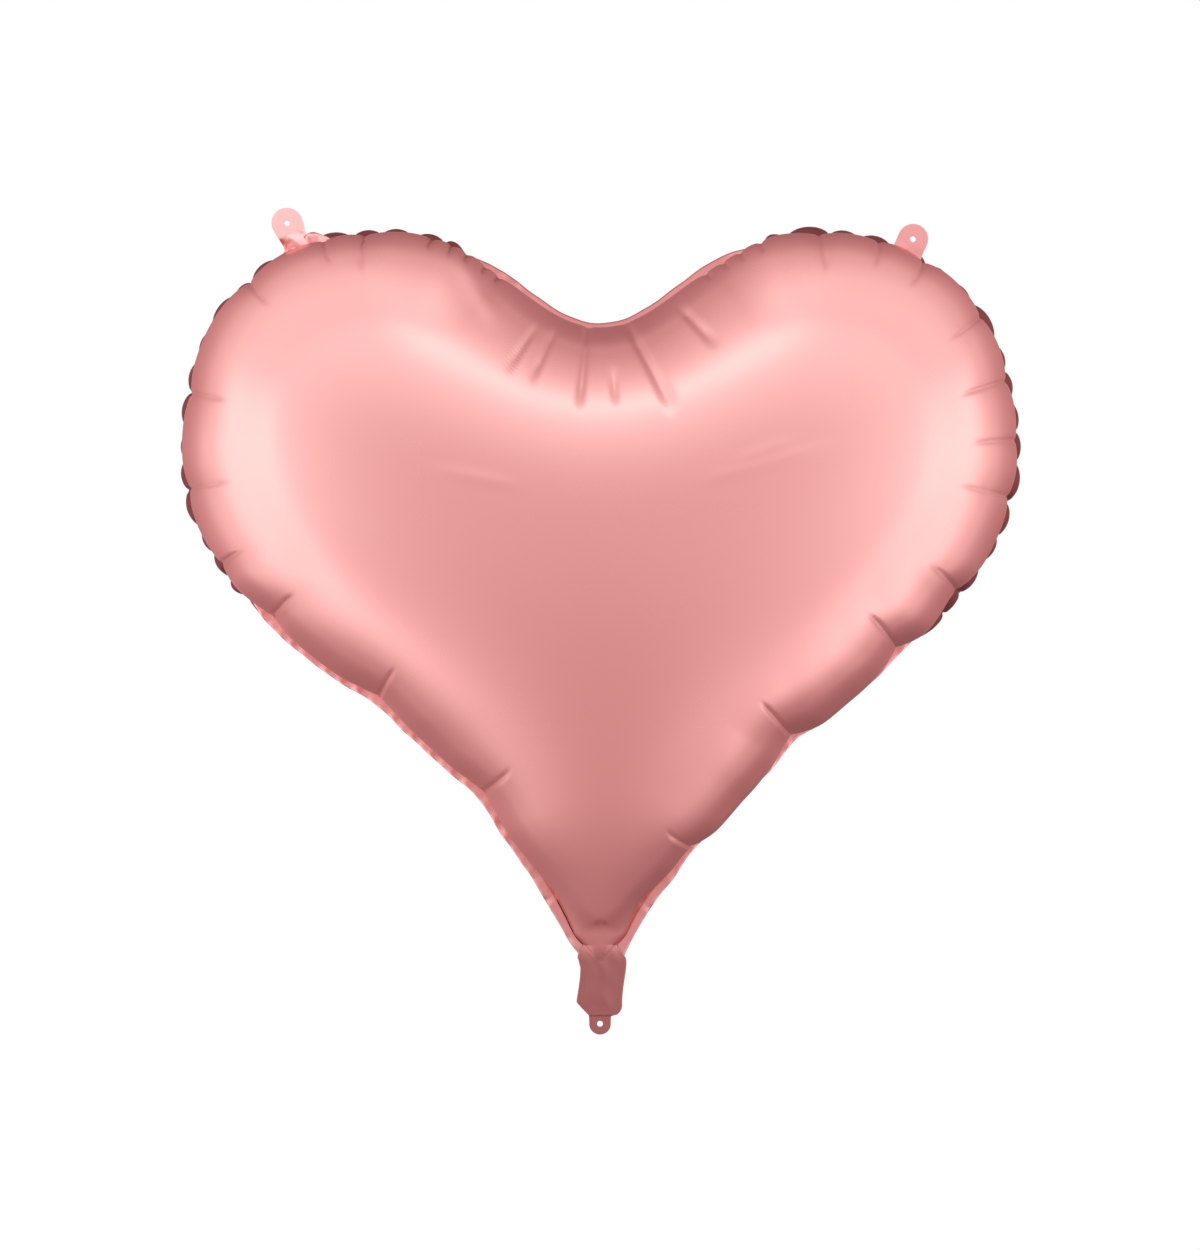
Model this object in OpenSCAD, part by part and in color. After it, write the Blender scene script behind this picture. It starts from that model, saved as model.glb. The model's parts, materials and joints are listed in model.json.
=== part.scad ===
// Heart-shaped foil balloon, blown up, with a filling neck and three film tabs to hang or tie it by.
// Millimetres. The origin is the centre of the hole in the tail tab. +Z is up and the front faces -Y.
// The two panels meet in the plane y = 0. Film is drawn thicker than it is, so that it is a solid.

/* [Heart] */
// Width across the lobes
heart_w = 660; // [560:5:760]
// Height from the lower tip to the tops of the lobes
heart_h = 572; // [480:2:660]
// Thickness through the middle
heart_t = 256; // [180:4:300]
// Depth of the notch between the lobes
notch_depth = 73; // [40:1:100]
// Distance of each lobe's top from the middle line
lobe_top_x = 169; // [140:1:190]
// Height of the widest place above the lower tip
widest_z = 397; // [350:1:430]
// Where each lobe runs into the straight side, from the middle line
side_x = 193; // [170:1:210]
// The same place, above the lower tip
side_z = 203; // [180:1:220]
// Slope of the straight side
side_angle = 38.7; // [34:0.1:44]
// Width of the heat-sealed margin round the heart
seam_w = 8; // [4:0.5:12]

/* [Neck] */
// Width of the filling neck
neck_w = 38; // [30:1:44]
// Height of the fold line at the top of the neck
neck_root_z = 52.2; // [46:0.1:80]
// Height of the neck's open end
neck_mouth_z = 5.5; // [5.4:0.1:8]
// Radius of the neck's lower corners
neck_corner_r = 8; // [4:0.5:10]
// Width of the seal down each side of the neck
neck_seal_w = 5; // [3:0.5:7]

/* [Tabs] */
// Diameter of the hole in the tail tab
tail_hole_d = 4.6; // [3:0.1:6]
// Radius of the tail tab's round end
tail_tab_r = 8.5; // [6:0.5:11]
// Height of the tail tab's fold line
tail_root_z = 4.8; // [4:0.1:5]
// Diameter of the holes in the hanging tabs
hang_hole_d = 4.4; // [3:0.1:6]
// Radius of the hanging tabs' round ends
hang_tab_r = 12; // [9:0.5:14]
// Distance of both hanging holes from the middle line
hang_x = 246.5; // [240:0.5:250]
// Height of the left hanging hole, where the film stands up
left_hang_z = 630.6; // [628:0.2:634]
// Height of the right hanging hole, where the film sits low against the lobe
right_hang_z = 618; // [617:0.2:620]
// Lean of both hanging tabs away from upright
hang_lean = 24; // [20:1:28]
// Distance from the left hanging hole to its fold line
left_reach = 19.1; // [17:0.1:19.3]
// Distance from the right hanging hole to its fold line
right_reach = 7.5; // [6.6:0.1:7.7]

/* [Valve] */
// Height of the inner end of the valve above the lower tip
valve_top = 130; // [90:5:160]
// Width of the weld down each side of the valve
valve_seal_w = 2.5; // [1.5:0.5:4]
// Height of the release print above the lower tip
patch_top = 34; // [20:1:60]

/* [Film] */
// Drawn thickness of one sheet of the balloon's film
film_t = 0.4; // [0.3:0.05:0.6]
// Drawn thickness of one sheet of the valve's film
valve_t = 0.15; // [0.1:0.05:0.2]
// Gap between the two sheets of the valve
valve_gap = 0.1; // [0.1:0.02:0.2]

/* [Hidden] */
$fn = 64;

rose_gold = [0.78, 0.50, 0.47];
pale_rose = [0.90, 0.66, 0.64];
clear_film = [0.86, 0.88, 0.90];
print_grey = [0.62, 0.64, 0.66];

curve_steps = 11; // pieces in each of the outline's curves
rings = 12; // rings of facets from a panel's middle to its rim
fold_gap = 0.9; // clear space above the neck's fold line

neck_hw = neck_w / 2;
mouth_hw = neck_hw - neck_seal_w; // half the width that is open between the neck's seals
tip_z = neck_root_z + fold_gap;
inner_y = valve_gap / 2 + valve_t; // the balloon's film starts where the valve's film ends
outer_y = inner_y + film_t;
// A tab is both sheets and the layer of sealant that welds them.
sealant_t = 0.1;
tab_t = 2 * film_t + sealant_t;
middle = [0, tip_z + heart_h * 0.66]; // every ray from here meets the outline once

// ---- Outline of the right half, from the notch down to the tip ----

notch = [0, tip_z + heart_h - notch_depth];
lobe_top = [lobe_top_x, tip_z + heart_h];
widest = [heart_w / 2, tip_z + widest_z];
side = [side_x, tip_z + side_z];
tip = [neck_hw, tip_z];

side_way = [cos(side_angle), sin(side_angle)];
lobe_hw = heart_w / 2 - lobe_top_x;

half_curves = [
  [notch, notch + [0.3 * lobe_top_x, 0], lobe_top - [0.53 * lobe_top_x, 0], lobe_top],
  [lobe_top, lobe_top + [0.66 * lobe_hw, 0], widest + [0, 0.59 * (heart_h - widest_z)], widest],
  [widest, widest - [0, 0.46 * (widest_z - side_z)], side + 70 * side_way, side],
  [side, side - 91 * side_way, tip + [0.68 * neck_w, 60], tip]
];

function bezier(c, t) =
  pow(1 - t, 3) * c[0] + 3 * pow(1 - t, 2) * t * c[1] + 3 * (1 - t) * t * t * c[2] + pow(t, 3) * c[3];

half = concat(
  [for (c = half_curves, i = [0:curve_steps - 1]) bezier(c, i / curve_steps)],
  [tip]
);
last = len(half) - 1;

function flip(p) = [-p[0], p[1]];
function both_sides(h) = concat(h, [for (i = [len(h) - 1:-1:1]) flip(h[i])]);

// Unit direction into the heart at point i of the half outline
function along(i) = i == 0 ? half[1] - flip(half[1]) : half[i + 1] - half[i - 1];
function inward(i) = let (d = along(i)) [d[1], -d[0]] / norm(d);

// The half outline moved in by w, with its tip moved by tip_move
function moved_in(w, tip_move) =
  [for (i = [0:last]) i == last ? tip + tip_move : half[i] + w * inward(i)];

outline = both_sides(half);
seam_line = both_sides(moved_in(seam_w, [-neck_seal_w, 0]));
seam_inside = both_sides(moved_in(seam_w + film_t, [-neck_seal_w - film_t, film_t]));

// ---- Domed panels ----

// The dome is full at the lobes and flatter towards the tip, where the balloon narrows.
function fullness(p) = 0.5 + 0.3 * pow(max(0, (middle[1] - p[1]) / (middle[1] - tip_z)), 2);
dome_h = heart_t / 2 - outer_y;

function dome_point(p, s, y0) =
  let (q = middle + s * (p - middle), h = dome_h * pow(1 - s * s, fullness(p)))
  [q[0], -y0 - h, q[1]];

function dome_rings(rim, y0) =
  [for (j = [1:rings], p = rim) dome_point(p, sin(90 * j / rings), y0)];

rim_n = len(outline);
outer_n = 1 + rim_n * rings; // points of the outer skin, its middle first
step_at = outer_n; // points of the rim's step, on the seam line
inner_at = outer_n + rim_n;

function next(i) = (i + 1) % rim_n;
function strip(a, b, turn) =
  [for (i = [0:rim_n - 1]) each (turn
    ? [[a + i, b + i, b + next(i)], [a + i, b + next(i), a + next(i)]]
    : [[a + i, b + next(i), b + i], [a + i, a + next(i), b + next(i)]])];
function fan(c, a, turn) =
  [for (i = [0:rim_n - 1]) turn ? [c, a + i, a + next(i)] : [c, a + next(i), a + i]];

panel_points = concat(
  [[middle[0], -outer_y - dome_h, middle[1]]], dome_rings(seam_line, outer_y),
  [for (p = seam_line) [p[0], -inner_y, p[1]]],
  [[middle[0], -inner_y - dome_h, middle[1]]], dome_rings(seam_inside, inner_y)
);
panel_faces = concat(
  fan(0, 1, true),
  [for (j = [0:rings - 2]) each strip(1 + j * rim_n, 1 + (j + 1) * rim_n, true)],
  strip(outer_n - rim_n, step_at, true),
  strip(step_at, inner_at + 1 + (rings - 1) * rim_n, true),
  [for (j = [0:rings - 2]) each strip(inner_at + 1 + j * rim_n, inner_at + 1 + (j + 1) * rim_n, false)],
  fan(inner_at, inner_at + 1, false)
);

module panel() {
  polyhedron(panel_points, panel_faces, convexity = 4);
}

// ---- Flat film ----

// Stands a flat shape up in the XZ plane, from y = y0 to y = y1.
module film(y0, y1) {
  translate([0, y1, 0])
    rotate([90, 0, 0])
      linear_extrude(y1 - y0)
        children();
}

function corner(cx, turn) =
  [for (a = [0:10:90]) [cx, neck_mouth_z + neck_corner_r] + neck_corner_r * [cos(turn + a), sin(turn + a)]];

module neck_shape() {
  polygon(concat(
    [[-neck_hw, neck_root_z]],
    corner(neck_corner_r - neck_hw, 180),
    corner(neck_hw - neck_corner_r, 270),
    [[neck_hw, neck_root_z]]
  ));
}

module strip_between(hw, z0, z1) {
  translate([-hw, z0])
    square([2 * hw, z1 - z0]);
}

module neck_sheet(y0, y1) {
  film(y0, y1)
    intersection() {
      neck_shape();
      strip_between(mouth_hw, neck_mouth_z, neck_root_z);
    }
}

// A tab with a round end about its hole, which points up from a fold line reach below the hole.
module tab(r, hole_d, reach) {
  rotate([90, 0, 0])
    translate([0, 0, -tab_t / 2])
      difference() {
        linear_extrude(tab_t)
          intersection() {
            union() {
              circle(r = r);
              translate([-r, -reach])
                square([2 * r, reach]);
            }
            translate([-2 * r, -reach])
              square([4 * r, 4 * r]);
          }
        translate([0, 0, -1])
          cylinder(h = tab_t + 2, d = hole_d);
      }
}

// ---- Sub-parts ----

module front_panel() {
  color(rose_gold)
    panel();
}

module back_panel() {
  color(rose_gold)
    mirror([0, 1, 0])
      panel();
}

module seam_margin() {
  color(pale_rose)
    film(-outer_y, outer_y)
      difference() {
        polygon(outline);
        polygon(seam_line);
      }
}

module hanging_tab_left() {
  color(pale_rose)
    translate([-hang_x, 0, left_hang_z])
      rotate([0, -hang_lean, 0])
        tab(hang_tab_r, hang_hole_d, left_reach);
}

module hanging_tab_right() {
  color(pale_rose)
    translate([hang_x, 0, right_hang_z])
      rotate([0, hang_lean, 0])
        tab(hang_tab_r, hang_hole_d, right_reach);
}

module neck_front() {
  color(rose_gold)
    neck_sheet(-outer_y, -inner_y);
}

module neck_back() {
  color(rose_gold)
    neck_sheet(inner_y, outer_y);
}

module neck_side_seals() {
  color(pale_rose)
    film(-outer_y, outer_y)
      difference() {
        neck_shape();
        strip_between(mouth_hw, neck_mouth_z - 1, neck_root_z + 1);
      }
}

module tail_tab() {
  color(pale_rose)
    rotate([0, 180, 0])
      tab(tail_tab_r, tail_hole_d, tail_root_z);
}

valve_hw = mouth_hw - 0.5;
valve_inner_hw = valve_hw - valve_seal_w;

module valve_front_film() {
  color(clear_film)
    film(-inner_y, -valve_gap / 2)
      strip_between(valve_inner_hw, tip_z, tip_z + valve_top);
}

module valve_back_film() {
  color(clear_film)
    film(valve_gap / 2, inner_y)
      strip_between(valve_inner_hw, tip_z, tip_z + valve_top);
}

module valve_side_welds() {
  color(clear_film)
    film(-inner_y, inner_y)
      difference() {
        strip_between(valve_hw, tip_z, tip_z + valve_top);
        strip_between(valve_inner_hw, tip_z - 1, tip_z + valve_top + 1);
      }
}

module valve_release_print() {
  color(print_grey)
    film(-valve_gap / 2, valve_gap / 2)
      strip_between(valve_inner_hw * 0.8, tip_z, tip_z + patch_top);
}

module valve_mouth_front() {
  color(clear_film)
    film(-inner_y, -valve_gap / 2)
      strip_between(mouth_hw, neck_mouth_z, neck_root_z);
}

module valve_mouth_back() {
  color(clear_film)
    film(valve_gap / 2, inner_y)
      strip_between(mouth_hw, neck_mouth_z, neck_root_z);
}

front_panel();
back_panel();
seam_margin();
hanging_tab_left();
hanging_tab_right();
neck_front();
neck_back();
neck_side_seals();
tail_tab();
valve_front_film();
valve_back_film();
valve_side_welds();
valve_release_print();
valve_mouth_front();
valve_mouth_back();
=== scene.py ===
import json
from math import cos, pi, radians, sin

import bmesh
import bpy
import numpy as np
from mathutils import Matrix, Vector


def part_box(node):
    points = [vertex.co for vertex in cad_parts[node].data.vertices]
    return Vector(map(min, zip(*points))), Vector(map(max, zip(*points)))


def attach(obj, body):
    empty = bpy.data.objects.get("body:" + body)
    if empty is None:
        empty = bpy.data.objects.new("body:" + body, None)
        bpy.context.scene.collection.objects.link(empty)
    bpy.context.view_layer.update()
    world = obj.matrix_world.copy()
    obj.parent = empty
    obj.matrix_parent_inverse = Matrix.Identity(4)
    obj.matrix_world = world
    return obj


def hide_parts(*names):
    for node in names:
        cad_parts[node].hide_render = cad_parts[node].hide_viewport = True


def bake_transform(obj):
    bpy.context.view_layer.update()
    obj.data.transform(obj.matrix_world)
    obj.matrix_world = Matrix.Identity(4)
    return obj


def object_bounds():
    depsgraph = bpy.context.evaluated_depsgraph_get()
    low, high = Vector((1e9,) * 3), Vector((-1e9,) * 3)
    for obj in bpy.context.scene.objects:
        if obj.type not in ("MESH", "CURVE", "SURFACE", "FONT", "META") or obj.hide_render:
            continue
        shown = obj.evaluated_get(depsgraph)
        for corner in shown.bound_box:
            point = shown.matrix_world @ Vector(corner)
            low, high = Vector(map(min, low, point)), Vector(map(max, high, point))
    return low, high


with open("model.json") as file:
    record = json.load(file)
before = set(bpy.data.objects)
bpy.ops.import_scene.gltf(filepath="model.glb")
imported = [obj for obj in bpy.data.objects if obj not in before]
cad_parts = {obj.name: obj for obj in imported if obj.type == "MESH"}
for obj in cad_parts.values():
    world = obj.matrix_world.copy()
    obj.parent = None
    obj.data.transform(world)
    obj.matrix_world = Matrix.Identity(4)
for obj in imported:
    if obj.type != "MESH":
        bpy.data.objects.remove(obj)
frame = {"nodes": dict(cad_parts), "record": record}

# %% [markdown]
# # A heart-shaped foil balloon
# The real balloon is two flat sheets of metallised film, welded together round a heart and blown up.
# The sheets can't stretch, so they pucker where the weld curves: that gives the smooth face,
# the creases that run in from the weld and the puffs between them. This file builds each sheet,
# the welded margin, the neck and the punched tabs, then the film's finish, the lights and the camera.

cad_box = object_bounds()
margin_low, margin_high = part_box("seam_margin")
neck_low, neck_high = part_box("neck_side_seals")
tail_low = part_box("tail_tab")[0]

HALF_W = margin_high.x
TOP = margin_high.z
TIP = margin_low.z
NECK_HALF = neck_high.x
NECK_MOUTH = neck_low.z
NECK_FOLD = neck_high.z
HALF_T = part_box("back_panel")[1].y
print("heart", round(2 * HALF_W, 4), "wide,", round(TOP - TIP, 4), "high,")
print(round(2 * HALF_T, 4), "thick")

# %% [markdown]
# ## The outline
# The weld follows one closed curve, so everything round the rim is placed by how far along that
# curve it is: 0 at the notch, clockwise past the right lobe to 0.5 at the tip, and back up the left.
# Four Bezier curves make one half, and a mirrored copy makes the other. The points are then spread
# evenly along the curve, so that the mesh has no bunched or stretched faces.

# %% Trace the outline
NOTCH_DEPTH = 0.073
LOBE_X = 0.169
WIDEST = TIP + 0.397
SIDE = np.array([0.193, TIP + 0.203])
SIDE_WAY = np.array([cos(radians(38.7)), sin(radians(38.7))])
STATIONS = 1200


def bezier(a, b, c, d, steps=60):
    t = np.linspace(0, 1, steps, endpoint=False)[:, None]
    u = 1 - t
    return u**3 * a + 3 * u * u * t * b + 3 * u * t * t * c + t**3 * d


def spread(points, count):
    """Puts count points evenly along a closed line. Returns them and the line's length."""
    closed = np.vstack([points, points[:1]])
    along = np.r_[0, np.cumsum(np.linalg.norm(np.diff(closed, axis=0), axis=1))]
    at = np.linspace(0, along[-1], count, endpoint=False)
    return np.stack([np.interp(at, along, closed[:, k]) for k in (0, 1)], axis=1), along[-1]


def trace_outline():
    notch = np.array([0, TOP - NOTCH_DEPTH])
    lobe = np.array([LOBE_X, TOP])
    wide = np.array([HALF_W, WIDEST])
    tip = np.array([NECK_HALF, TIP])
    out = np.array([1.0, 0.0])
    up = np.array([0.0, 1.0])
    half = np.vstack([
        bezier(notch, notch + 0.3 * LOBE_X * out, lobe - 0.53 * LOBE_X * out, lobe),
        bezier(lobe, lobe + 0.66 * (HALF_W - LOBE_X) * out, wide + 0.59 * (TOP - WIDEST) * up, wide),
        bezier(wide, wide - 0.46 * (WIDEST - SIDE[1]) * up, SIDE + 0.070 * SIDE_WAY, SIDE),
        bezier(SIDE, SIDE - 0.091 * SIDE_WAY, tip + np.array([0.026, 0.060]), tip),
        [tip],
    ])
    left = (half * [-1, 1])[:0:-1]
    return spread(np.vstack([half, left]), STATIONS)


def outward_of(line):
    """The unit direction out of a closed clockwise line at each of its points."""
    along = np.roll(line, -1, axis=0) - np.roll(line, 1, axis=0)
    out = np.stack([-along[:, 1], along[:, 0]], axis=1)
    return out / np.linalg.norm(out, axis=1)[:, None]


outline, RIM_LENGTH = trace_outline()
outward = outward_of(outline)
where = np.arange(STATIONS) / STATIONS
print("the weld is", round(RIM_LENGTH, 3), "m long")

# %% [markdown]
# ## The weld line
# Round the lobes the weld is hidden: the puffs swell past it and the margin lies in the valley
# between them. Along the straight sides and in the notch the margin shows. One deep crease can pull
# the weld in too, and the left side is drawn in more than the right.

# %% Place the weld line
MARGIN_W = 0.008


def ramp(x, a, b):
    """0 before a, 1 after b, and smooth between them."""
    t = np.clip((x - a) / (b - a), 0, 1)
    return t * t * (3 - 2 * t)


def hump(at, width):
    """A smooth hump round the rim, 1 at the place at and gone beyond width."""
    away = np.abs((where - at + 0.5) % 1 - 0.5)
    return 1 - ramp(away, 0, width)


def band(start, end, edge=0.02):
    """1 between two places round the rim, with soft ends."""
    return ramp(where, start - edge, start + edge) * (1 - ramp(where, end - edge, end + edge))


lobes = band(0.064, 0.315, 0.014) + band(0.70, 0.944, 0.014)
right_side = band(0.315, 0.455)
left_side = band(0.545, 0.70)
notch_sides = 1 - ramp(np.abs((where + 0.5) % 1 - 0.5), 0.050, 0.085)

tip_end = hump(0.5, 0.035)
inset = MARGIN_W + 0.006 * lobes - 0.003 * right_side - 0.0035 * tip_end
inset = inset + 0.006 * hump(0.60, 0.09) + 0.004 * hump(0.583, 0.020) + 0.003 * hump(0.638, 0.02)
inset = inset + 0.003 * hump(0.327, 0.014) + 0.004 * hump(0.381, 0.014) + 0.003 * hump(0.4404, 0.014)
swell_front = 0.0145 * lobes + 0.0120 * right_side + 0.0055 * left_side + 0.004 * notch_sides
for place in (0.293, 0.327, 0.381, 0.4404):
    swell_front = swell_front + 0.0016 * hump(place - 0.012, 0.018) - 0.0012 * hump(place + 0.010, 0.016)
swell_back = 0.0245 * lobes + 0.0105 * right_side + 0.0100 * left_side


def smooth_round(values, reach):
    """Smooths values round the rim over reach stations each way."""
    kernel = np.hanning(2 * reach + 3)[1:-1]
    wrapped = np.concatenate([values[-reach:], values, values[:reach]])
    return np.apply_along_axis(np.convolve, 0, wrapped, kernel / kernel.sum(), "valid")


weld = outline - smooth_round(outward, 6) * inset[:, None]
low = 1 - ramp(weld[:, 1], TIP + 0.000, TIP + 0.016)
weld = weld * np.stack([1 - 0.93 * low, np.ones(STATIONS)], axis=1) - np.outer(low**2, [0, 0.009])
weld = smooth_round(weld, 4)
weld_out = smooth_round(outward_of(weld), 6)
weld_out = weld_out / np.linalg.norm(weld_out, axis=1)[:, None]
print("the weld lies", round(float(inset.min()), 4), "m inside the outline and further")

# %% [markdown]
# ## The dome
# Film under pressure takes the shape of a soap film that is pushed from one side: it rises until it
# bulges evenly. That shape is found on a square net over the heart. Each pass lifts every inner knot
# a little and draws it to the mean of its four neighbours, and the rim stays down. Film also bends
# round much more tightly at the rim than soap does, which a power below one half gives.

# %% Blow up a net
KNOT = 0.005
FULLNESS = 0.43
SWEEPS = 500
OVER_RELAX = 1.94


def inside(x, z, line):
    """Which points are inside a closed line."""
    result = np.zeros(x.shape, bool)
    for (x1, z1), (x2, z2) in zip(line, np.roll(line, -1, axis=0)):
        if z1 == z2:
            continue
        crosses = (z1 > z) != (z2 > z)
        result ^= crosses & (x < (x2 - x1) * (z - z1) / (z2 - z1) + x1)
    return result


def soap_film(line):
    """The height of a soap film over a closed line, on a square net, before its power is taken."""
    xs = np.arange(-HALF_W - 4 * KNOT, HALF_W + 4 * KNOT, KNOT)
    zs = np.arange(TIP - 4 * KNOT, TOP + 4 * KNOT, KNOT)
    x, z = np.meshgrid(xs, zs, indexing="ij")
    free = inside(x, z, line)
    film = np.zeros(x.shape)
    odd = np.add.outer(np.arange(len(xs)), np.arange(len(zs))) % 2 == 1
    for sweep in range(SWEEPS):
        for colour in (free & odd, free & ~odd):
            mean = np.zeros(film.shape)
            mean[1:-1, 1:-1] = (film[2:, 1:-1] + film[:-2, 1:-1] + film[1:-1, 2:] + film[1:-1, :-2]) / 4
            film[colour] += OVER_RELAX * (mean[colour] + KNOT * KNOT / 4 - film[colour])
    return xs, zs, film


def smooth_read(net, x, z):
    """Reads the net between its knots with a smooth spline, so that reflections have no steps."""
    xs, zs, film = net
    fx = (x - xs[0]) / KNOT
    fz = (z - zs[0]) / KNOT
    ix = np.clip(fx.astype(int), 1, len(xs) - 3)
    iz = np.clip(fz.astype(int), 1, len(zs) - 3)
    tx = fx - ix
    tz = fz - iz

    def weights(t):
        return ((1 - t)**3 / 6, (3 * t**3 - 6 * t**2 + 4) / 6,
                (-3 * t**3 + 3 * t**2 + 3 * t + 1) / 6, t**3 / 6)

    total = np.zeros(x.shape)
    for a, wa in enumerate(weights(tx)):
        for b, wb in enumerate(weights(tz)):
            total += wa * wb * film[ix + a - 1, iz + b - 1]
    return total


net = soap_film(weld)
print("net of", net[2].size, "knots, highest", round(float(net[2].max()), 5))

# %% [markdown]
# ## One sheet as rows of points
# A spoke runs from each place on the weld to a point in the middle of the heart, and rings cross the
# spokes. The rings crowd together at the rim, where the film stands almost upright, so that each
# face is about as tall as it is wide. Close to the weld the net is too coarse, so there the height
# grows with the distance from the weld at the rate that the net has a little further in.

# %% Rings and spokes
RINGS = 78
NEAR = 57
MIDDLE = np.array([0.0, TIP + 0.60 * (TOP - TIP)])
PROBE_IN = 0.014


def nearest(line, points):
    """Each point's distance from a closed line, and how many stations along the nearest place is."""
    ends = np.roll(line, -1, axis=0)
    best = np.full(len(points), 1e9)
    station = np.zeros(len(points))
    for i, (a, b) in enumerate(zip(line, ends)):
        step = b - a
        t = np.clip(((points - a) @ step) / (step @ step), 0, 1)
        far = np.linalg.norm(points - a - t[:, None] * step, axis=1)
        closer = far < best
        best[closer] = far[closer]
        station[closer] = i + t[closer]
    return best, station


def read_round(values, station):
    """Values given at the stations, read between them."""
    return np.interp(station, np.arange(STATIONS + 1), np.r_[values, values[:1]])


def plan_rings():
    """The place of every point of a sheet seen from the front, as (spoke, ring, 2)."""
    keep = np.cos(np.linspace(0, pi / 2, RINGS + 1))
    return MIDDLE + keep[None, :, None] * (weld - MIDDLE)[:, None, :]


def heights(plan, away, station):
    """The dome's height over each point of the plan."""
    x, z = plan[..., 0], plan[..., 1]
    film = np.maximum(smooth_read(net, x, z), 0)
    right = weld[int(0.50 * STATIONS):int(0.42 * STATIONS):-1]
    half = np.interp(z, right[:, 1], np.maximum(right[:, 0], 0.0005))
    round_top = 0.85 * half * np.clip(1 - (x / half)**2, 0, 1) / 2
    deep_in_tip = 1 - ramp(z, TIP + 0.018, TIP + 0.045)
    away = (1 - deep_in_tip) * away + deep_in_tip * round_top
    probe = weld - weld_out * PROBE_IN
    rate = smooth_round(smooth_read(net, probe[:, 0], probe[:, 1]) / PROBE_IN, 14)
    close = ramp(away, 0.008, 0.022)
    film = close * film + (1 - close) * np.minimum(away, 0.03) * read_round(rate, station)
    up = np.clip((z - TIP + 0.014) / 0.150, 0, 1)
    taper = 1 - (1 - up) ** 3
    return HALF_T * 0.985 * taper * (film / net[2].max()) ** FULLNESS


plan = plan_rings()
away = np.full(plan.shape[:2], 1.0)
station = np.repeat(np.arange(STATIONS)[:, None] * 1.0, RINGS + 1, axis=1)
edge_away, edge_station = nearest(weld, plan[:, :NEAR].reshape(-1, 2))
away[:, :NEAR] = edge_away.reshape(STATIONS, NEAR)
station[:, :NEAR] = edge_station.reshape(STATIONS, NEAR)
rise = heights(plan, away, station)
print("dome height", round(float(rise.max()), 4))

# %% [markdown]
# ## Creases
# A crease starts at the weld and runs in about square to it. It is a sharp valley with rounded
# shoulders, deepest at the weld and gone at its inner end. Each entry says where it starts round the
# rim, how far it runs, how far it leans, how deep it is and how far its shoulders reach.
# The back sheet has more and smaller creases round the lobes, at an even pitch with a little scatter.

# %% List the creases
# Each is (place round the rim, start, end, lean in degrees, depth, shoulder), in metres from the edge.
front_creases = [
    (0.0034, 0.046, 0.066, -3, 0.0004, 0.004),
    (0.009, 0.010, 0.084, 9, 0.0024, 0.007),
    (0.028, 0.022, 0.056, 5, 0.0010, 0.005),
    (0.097, 0, 0.034, 9, 0.0042, 0.013),
    (0.121, 0, 0.025, 5, 0.0036, 0.010),
    (0.141, 0, 0.028, 2, 0.0048, 0.012),
    (0.174, 0, 0.036, 5, 0.0040, 0.013),
    (0.2025, 0, 0.043, 5, 0.0048, 0.013),
    (0.227, 0, 0.038, 4, 0.0030, 0.011),
    (0.250, 0, 0.043, 5, 0.0045, 0.013),
    (0.293, 0, 0.032, -2, 0.0045, 0.016),
    (0.327, 0, 0.040, -3, 0.0065, 0.022),
    (0.381, 0, 0.040, 0, 0.0075, 0.030),
    (0.4404, 0, 0.026, 4, 0.0050, 0.028),
    (0.583, 0, 0.043, -2, 0.0065, 0.026),
    (0.638, 0, 0.038, 4, 0.0065, 0.022),
    (0.691, 0, 0.031, 3, 0.0055, 0.016),
    (0.720, 0, 0.024, -5, 0.0036, 0.011),
    (0.753, 0, 0.036, -6, 0.0045, 0.013),
    (0.7925, 0, 0.033, -2, 0.0045, 0.014),
    (0.845, 0, 0.030, -3, 0.0050, 0.015),
    (0.881, 0, 0.024, 2, 0.0032, 0.010),
    (0.897, 0, 0.033, -8, 0.0042, 0.012),
    (0.980, 0.028, 0.062, 0, 0.0010, 0.005),
    (0.986, 0.022, 0.060, 2, 0.0014, 0.005),
    (0.996, 0.008, 0.070, 3, 0.0024, 0.007),
]
for place in (0.046, 0.054, 0.062, 0.071, 0.925, 0.934, 0.942, 0.950, 0.957):
    front_creases.append((place, 0, 0.014, 0, 0.0042, 0.007))
PITCH = 0.0136
scatter = np.random.default_rng(7)


def back_run(start, end, pitch, deep, reach):
    """Creases at an even pitch between two places round the rim, with a little scatter."""
    run = []
    for at in np.arange(start, end, pitch):
        at = at + scatter.uniform(-0.2, 0.2) * pitch
        size = scatter.uniform(0.75, 1.2)
        run.append((at, 0, reach * size, scatter.uniform(-6, 6), deep * size, 0.35 * pitch * RIM_LENGTH))
    return run


back_creases = (
    back_run(0.06, 0.315, PITCH, 0.0080, 0.052) + back_run(0.335, 0.46, 2.6 * PITCH, 0.0065, 0.040)
    + back_run(0.55, 0.68, 2.6 * PITCH, 0.0065, 0.040) + back_run(0.70, 0.945, PITCH, 0.0080, 0.052)
    + back_run(0.955, 1.045, PITCH, 0.0014, 0.060)
)


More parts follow.
